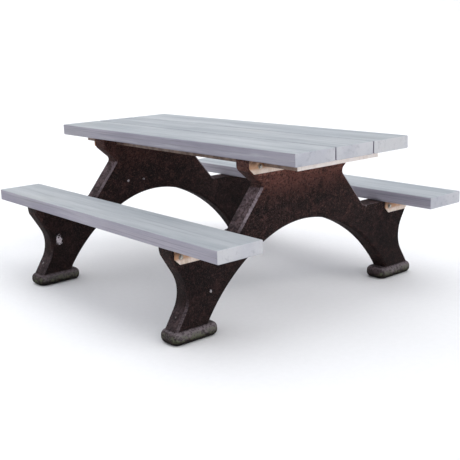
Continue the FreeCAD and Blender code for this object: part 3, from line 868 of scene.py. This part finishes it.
def stiffener_cross(name, side, material):
    """Angle bar across the planks near one end; its web faces the end of the table."""
    node = "stiffener_cross_" + name
    low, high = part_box(node)
    outer_x = side * max(abs(low.x), abs(high.x))
    section = angle_section(STIFFENER_LEG, STIFFENER_LEG, STIFFENER_THICKNESS, STIFFENER_BEND)
    rings = []
    for y in (low.y, high.y):
        rings.append([Vector((outer_x - side * out, y, high.z - down)) for down, out in section])
    bm = bmesh.new()
    loft(bm, rings)
    made = mesh_object(node + "_bar", bm)
    for end in (-1, 1):
        ys = sorted((end * (high.y + 0.01), end * (high.y - STIFFENER_THICKNESS)))
        near_x = side * (abs(outer_x) - STIFFENER_THICKNESS)
        inner_x = side * (abs(outer_x) - STIFFENER_LEG - 0.01)
        xs = sorted((near_x, inner_x))
        combine(made, block((xs[0], ys[0], low.z - 0.01), (xs[1], ys[1], high.z + 0.01)), "DIFFERENCE")
    for y in CROSS_SCREW_Y:
        start = (outer_x - side * STIFFENER_LEG / 2, y, high.z - 0.02)
        combine(made, rod(start, (0, 0, 1), SCREW_RADIUS + HOLE_CLEARANCE, 0.04), "DIFFERENCE")
    soften(made, 0.0005)
    return place(made, material, "stiffener_paint", node)


# ---------------------------------------------------------------- fasteners
def hex_ring(centre, out, radius, flatness):
    """A ring between a circle (0) and a hexagon (1) in the plane across an X axis."""
    ring = []
    sides = 36
    for i in range(sides):
        angle = 2 * math.pi * i / sides
        from_flat = (angle + math.pi / 6) % (math.pi / 3) - math.pi / 6
        hexagon = radius * math.cos(math.pi / 6) / math.cos(from_flat)
        reach = hexagon * flatness + radius * (1 - flatness)
        ring.append(Vector((out, centre.y + reach * math.cos(angle), centre.z + reach * math.sin(angle))))
    return ring


def lag_bolt(bm, side, y, z):
    """Hex-headed lag bolt: crowned head, shank, thread ridges and a tapered tip."""
    seat = FRAME_OUTER_X + BRACKET_THICKNESS + WASHER_THICKNESS
    corner = LAG_ACROSS_FLATS / math.sqrt(3)
    centre = Vector((0, y, z))
    flat = LAG_ACROSS_FLATS / 2
    top = seat + LAG_HEAD_HEIGHT
    rings = [
        hex_ring(centre, side * seat, corner * 0.985, 1),
        hex_ring(centre, side * (seat + 0.0003), corner, 1),
        hex_ring(centre, side * (top - 0.0016), corner, 1),
        hex_ring(centre, side * (top - 0.0006), flat * 1.06, 0.45),
        hex_ring(centre, side * top, flat * 0.9, 0),
        hex_ring(centre, side * top, flat * 0.35, 0),
    ]
    loft(bm, rings)
    stations = [(-0.0005, LAG_RADIUS)]
    along = 0.022
    pitch = 0.0032
    stations.append((along, LAG_RADIUS))
    while along < LAG_LENGTH - 0.009:
        stations.append((along + pitch * 0.35, LAG_RADIUS * 0.74))
        stations.append((along + pitch * 0.75, LAG_RADIUS * 0.74))
        stations.append((along + pitch, LAG_RADIUS))
        along += pitch
    stations += [(along + 0.001, LAG_RADIUS * 0.72), (LAG_LENGTH, 0.001)]
    lathe(bm, stations, (side * seat, y, z), (-side, 0, 0), 16)


def washer(bm, side, y, z):
    """Flat washer with eased rims, very slightly dished."""
    inner = LAG_RADIUS + HOLE_CLEARANCE
    outer = WASHER_RADIUS
    thick = WASHER_THICKNESS
    ease = 0.0003
    section = (
        (0, inner), (0, outer - ease), (ease, outer), (thick - 2 * ease, outer),
        (thick - ease, outer - ease), (thick, (inner + outer) / 2),
        (thick, inner + ease), (thick - ease, inner),
    )
    base = side * (FRAME_OUTER_X + BRACKET_THICKNESS)
    sides = 32
    loops = []
    for out, radius in section:
        loop = []
        for i in range(sides):
            angle = 2 * math.pi * i / sides
            at = Vector((base + side * out, y + radius * math.cos(angle), z + radius * math.sin(angle)))
            loop.append(bm.verts.new(at))
        loops.append(loop)
    for ring, following in zip(loops, loops[1:] + loops[:1]):
        for i in range(sides):
            j = (i + 1) % sides
            bm.faces.new((ring[i], ring[j], following[j], following[i]))


def plank_screw(bm, x, y, shelf_z):
    """Pan-head screw driven upwards, with a driver socket in its head."""
    head = SCREW_HEAD_HEIGHT
    radius = SCREW_HEAD_RADIUS
    stations = [
        (-head * 0.45, radius * 0.02),
        (-head * 0.50, radius * 0.22),
        (-head * 0.97, radius * 0.27),
        (-head, radius * 0.33),
        (-head, radius * 0.55),
        (-head * 0.90, radius * 0.78),
        (-head * 0.65, radius * 0.94),
        (-head * 0.30, radius),
        (0.0, radius),
        (0.0, SCREW_RADIUS),
    ]
    along = 0.010
    pitch = 0.0022
    stations.append((along, SCREW_RADIUS))
    while along < SCREW_LENGTH - 0.008:
        stations.append((along + pitch * 0.4, SCREW_RADIUS * 0.72))
        stations.append((along + pitch, SCREW_RADIUS))
        along += pitch
    stations.append((SCREW_LENGTH, 0.0006))
    lathe(bm, stations, (x, y, shelf_z), (0, 0, 1), 16)


def fasteners(steel, screw_steel):
    """Bolts, washers and screws, grouped as the frame groups them."""
    top_z = TOP_UNDERSIDE - LAG_DROP
    seat_z = SEAT_UNDERSIDE - LAG_DROP
    top_places = [(side, y, top_z) for name, side in ENDS for y in TOP_LAG_Y]
    seat_places = [(side, way * y, seat_z) for name, side in ENDS for label, way in SIDES for y in SEAT_LAG_Y]
    for node, places in (("top_bracket_lag_bolts", top_places), ("seat_bracket_lag_bolts", seat_places)):
        bm = bmesh.new()
        for side, y, z in places:
            lag_bolt(bm, side, y, z)
        place(mesh_object(node + "_hex", bm), steel, "bolt_steel", node)
    bm = bmesh.new()
    for side, y, z in top_places + seat_places:
        washer(bm, side, y, z)
    place(mesh_object("lag_washers_flat", bm), steel, "bolt_steel", "lag_washers")

    screw_x = FRAME_OUTER_X + SCREW_FROM_FRAME
    rail_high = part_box("stiffener_rail_rear")[1]
    cross_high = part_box("stiffener_cross_right")[1]
    rail_y = rail_high.y - STIFFENER_LEG / 2
    cross_x = cross_high.x - STIFFENER_LEG / 2
    top_shelf = TOP_UNDERSIDE - BRACKET_THICKNESS
    seat_shelf = SEAT_UNDERSIDE - BRACKET_THICKNESS
    bar_shelf = TOP_UNDERSIDE - STIFFENER_THICKNESS
    groups = {
        "top_plank_screws": [(side * screw_x, y, top_shelf) for name, side in ENDS for y in TOP_SCREW_Y],
        "seat_plank_screws": [(side * screw_x, way * y, seat_shelf)
                              for name, side in ENDS for label, way in SIDES for y in SEAT_SCREW_Y],
        "stiffener_screws": [(x, way * rail_y, bar_shelf) for label, way in SIDES for x in RAIL_SCREW_X]
                            + [(side * cross_x, y, bar_shelf) for name, side in ENDS for y in CROSS_SCREW_Y],
    }
    for node, places in groups.items():
        bm = bmesh.new()
        for x, y, shelf_z in places:
            plank_screw(bm, x, y, shelf_z)
        place(mesh_object(node + "_pan", bm), screw_steel, "screw_steel", node)


# ---------------------------------------------------------------- stage, light, camera
STAGE_FLAT_RADIUS = 8.0
STAGE_BEND = 6.0
STAGE_WALL_TOP = 9.0


def make_stage():
    """A round pale floor that curves up into a wall all the way round."""
    profile = [(STAGE_FLAT_RADIUS * share, 0.0) for share in (0.02, 0.3, 0.7, 1.0)]
    bend_steps = 14
    for i in range(1, bend_steps + 1):
        angle = math.radians(90 * i / bend_steps)
        profile.append((STAGE_FLAT_RADIUS + STAGE_BEND * math.sin(angle), STAGE_BEND * (1 - math.cos(angle))))
    profile.append((STAGE_FLAT_RADIUS + STAGE_BEND, STAGE_WALL_TOP))
    sides = 72
    rings = []
    for radius, up in profile:
        ring = []
        for i in range(sides):
            angle = 2 * math.pi * i / sides
            ring.append(Vector((radius * math.cos(angle), radius * math.sin(angle), up)))
        rings.append(ring)
    bm = bmesh.new()
    loops = loft(bm, rings, closed=False)
    bm.faces.new(loops[0])
    floor = mesh_object("studio_floor", bm)
    for face in floor.data.polygons:
        face.use_smooth = True
    s = Shader("studio_paper")
    soft = s.noise(s.stretch((1, 1, 1)), scale=40, detail=3)
    color = s.blend(s.window(soft, 0.3, 0.7), rgb(238, 238, 239), rgb(240, 240, 241))
    floor.data.materials.append(s.finish(color, 0.9, s.bump(soft, 0.02, 0.001), specular=0.1))


def sun_light(name, direction, spread, power, color):
    """A distant soft light that shines from a direction."""
    data = bpy.data.lights.new(name, "SUN")
    data.angle = math.radians(spread)
    data.energy = power
    data.color = color
    lamp = bpy.data.objects.new(name, data)
    bpy.context.scene.collection.objects.link(lamp)
    lamp.location = Vector(direction) * 4
    lamp.rotation_mode = "QUATERNION"
    lamp.rotation_quaternion = (-Vector(direction)).to_track_quat("-Z", "Y")


def make_light():
    world = bpy.data.worlds.new("studio")
    bpy.context.scene.world = world
    world.use_nodes = True
    background = world.node_tree.nodes["Background"]
    background.inputs["Color"].default_value = (0.95, 0.97, 1.0, 1.0)
    background.inputs["Strength"].default_value = 0.68
    sun_light("key", (0.80, 0.21, 0.56), 40, 1.50, (1.0, 0.98, 0.96))
    sun_light("sky", (-0.10, -0.08, 0.99), 80, 1.27, (0.95, 0.97, 1.0))
    sun_light("fill", (0.15, -0.95, 0.28), 50, 0.16, (0.97, 0.96, 1.0))
    bpy.context.scene.view_settings.view_transform = "Standard"


def make_camera():
    heading = Vector((-math.sin(CAMERA_HEADING) * math.cos(CAMERA_DIP),
                      math.cos(CAMERA_HEADING) * math.cos(CAMERA_DIP), -math.sin(CAMERA_DIP)))
    level = Vector((math.cos(CAMERA_HEADING), math.sin(CAMERA_HEADING), 0))
    upright = level.cross(heading)
    right = level * math.cos(CAMERA_ROLL) + upright * math.sin(CAMERA_ROLL)
    up = upright * math.cos(CAMERA_ROLL) - level * math.sin(CAMERA_ROLL)
    data = bpy.data.cameras.new("camera")
    data.sensor_width = CAMERA_SENSOR
    data.lens = CAMERA_LENS
    data.clip_end = 60.0
    camera = bpy.data.objects.new("camera", data)
    bpy.context.scene.collection.objects.link(camera)
    turned = Matrix((right, up, -heading)).transposed().to_4x4()
    camera.matrix_world = Matrix.Translation(CAMERA_PLACE) @ turned
    bpy.context.scene.camera = camera


# ---------------------------------------------------------------- making
# Pale marks on each frame's +X face: (face, axes, centre, radii, strength).
FRAME_MARKS = {
    "right": [
        (("X", 1), ("Y", "Z"), (-0.554, 0.192), (0.007, 0.007), 0.60),
        (("X", 1), ("Y", "Z"), (0.414, 0.395), (0.007, 0.006), 0.30),
    ],
    "left": [
        (("X", 1), ("Y", "Z"), (-0.6265, 0.223), (0.017, 0.027), 0.95),
        (("X", 1), ("Y", "Z"), (-0.187, 0.471), (0.007, 0.007), 0.60),
        (("X", 1), ("Y", "Z"), (-0.088, 0.4675), (0.007, 0.007), 0.60),
    ],
}
MOULD_MARK_Z = 0.108


def mould_marks(side):
    """The small pale dot halfway across the outer edge of each leg."""
    middle_x = side * (FRAME_OUTER_X + FRAME_INNER_X) / 2
    marks = []
    for label, way in SIDES:
        centre = (middle_x, way * LEG_TOE_Y, MOULD_MARK_Z)
        marks.append((("Y", way), ("X", "Y", "Z"), centre, (0.006, 0.080, 0.006), 0.35))
    return marks


def make_table():
    """Every piece of the table; each plank is (node, grain offset, tone, side shade tone)."""
    planks = (
        ("top_plank_front", (0.0, 0.0, 0.0), 1.0, 1.0),
        ("top_plank_middle", (3.1, 1.7, 0.4), 0.985, 1.0),
        ("top_plank_rear", (7.3, 4.2, 0.9), 1.01, 1.0),
        ("seat_plank_front", (11.9, 8.8, 2.3), 1.0, 1.02),
        ("seat_plank_rear", (17.2, 13.5, 3.1), 1.04, 1.10),
    )
    for seed, (node, shift, tone, side_shade_tone) in enumerate(planks):
        plank(node, plank_material(node + "_lumber", shift, tone, side_shade_tone), seed * 5.3)

    bracket_paint = paint_material(
        "bracket_paint_cream", rgb(236, 220, 208), rgb(220, 198, 180), (0, 0, 0), 0.8,
        (TOP_UNDERSIDE, SEAT_UNDERSIDE))
    # The cross bars carry a paler copy of the cream paint as painted light on the lit end webs.
    cross_paint_lit = paint_material(
        "stiffener_paint_cream_lit", rgb(249, 239, 232), rgb(240, 227, 218), (5, 2, 1), 0.4)
    # The rails carry the cream paint darkened to brown as painted shade under the plank overhang.
    rail_paint_shaded = paint_material(
        "stiffener_paint_painted_shade", rgb(124, 102, 90), rgb(84, 64, 56), (2, 6, 4), 1.0)
    for index, (name, side) in enumerate(ENDS):
        wear = 1.0 if name == "right" else 0.6
        marks = FRAME_MARKS[name] + mould_marks(side)
        end_frame(name, side, frame_material("frame_plastic_" + name, side, (index * 4.1, 0, 0), wear, marks))
        bracket("top_bracket_" + name, side, TOP_LAG_Y, TOP_SCREW_Y, bracket_paint, notches=(-1, 1))
        for label, way in SIDES:
            bracket("seat_bracket_" + label + "_" + name, side, [way * y for y in SEAT_LAG_Y],
                    [way * y for y in SEAT_SCREW_Y], bracket_paint)
        stiffener_cross(name, side, cross_paint_lit)
    for label, way in SIDES:
        stiffener_rail(label, way, rail_paint_shaded)
    fasteners(steel_material("bolt_zinc", (0, 0, 0)), steel_material("screw_zinc", (3, 1, 2)))


make_camera()
make_light()
make_stage()
make_table()
